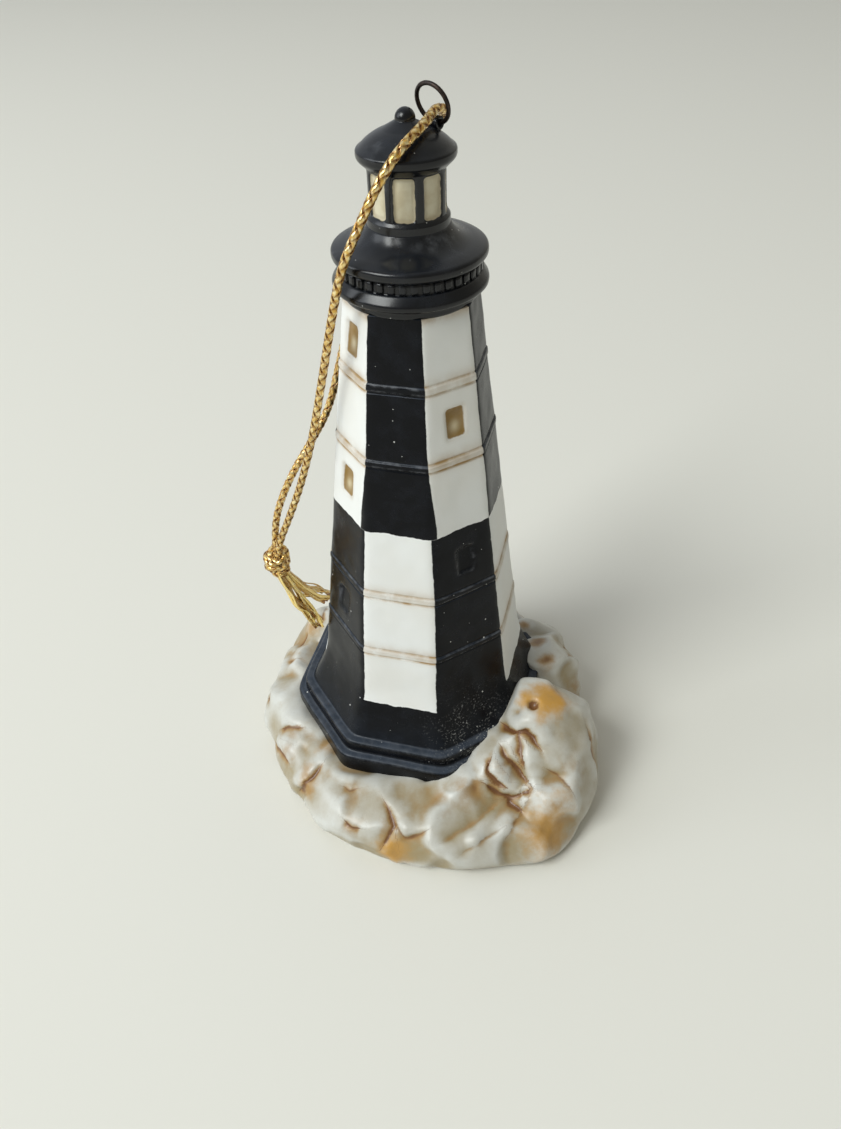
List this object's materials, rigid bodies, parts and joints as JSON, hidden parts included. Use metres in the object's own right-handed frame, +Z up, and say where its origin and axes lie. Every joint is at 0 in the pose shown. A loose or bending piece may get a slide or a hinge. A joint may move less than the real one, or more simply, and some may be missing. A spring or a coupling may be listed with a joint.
{
  "type": "lighthouse figurine",
  "caption": "Small ceramic lighthouse on a rock base, a hanging ornament with a checkered octagonal tower, round gallery, lantern room, wire ring and tied cord loop.",
  "frame": {"origin": "on the tower's axis, at the mouth of the vent hole in the flat underside", "axes": "+Z up along the tower's axis, -Y out of the middle front face of the octagonal tower, +X to the right of that face"},
  "size_m": [0.0717, 0.073, 0.1222],
  "materials": {
    "rock_bisque": "matt bisque with brown wash",
    "tower_bisque": "matt bisque with painted faces",
    "black_bisque": "satin black paint",
    "lantern_bisque": "satin black paint with cream panes",
    "dark_wire": "blackened wire",
    "gold_cord": "braided metallic yarn"
  },
  "bodies": {
    "figurine": {"rock_base": "rock_bisque", "tower_shaft": "tower_bisque", "gallery_cornice": "black_bisque", "gallery_deck": "black_bisque", "lantern_room": "lantern_bisque", "roof_dome": "black_bisque", "finial_ball": "black_bisque", "hanging_cord": "gold_cord", "cord_knot": "gold_cord", "cord_tail_front": "gold_cord", "cord_tail_back": "gold_cord"},
    "hanger": {"hanger_ring": "dark_wire"}
  },
  "joints": [
    {"name": "ring_swing", "type": "hinge", "parent": "figurine", "child": "hanger", "pos_m": [0.0036, 0.0025, 0.11695], "axis": [-0.891, 0.454, 0], "range_deg": [-25, 55]}
  ]
}
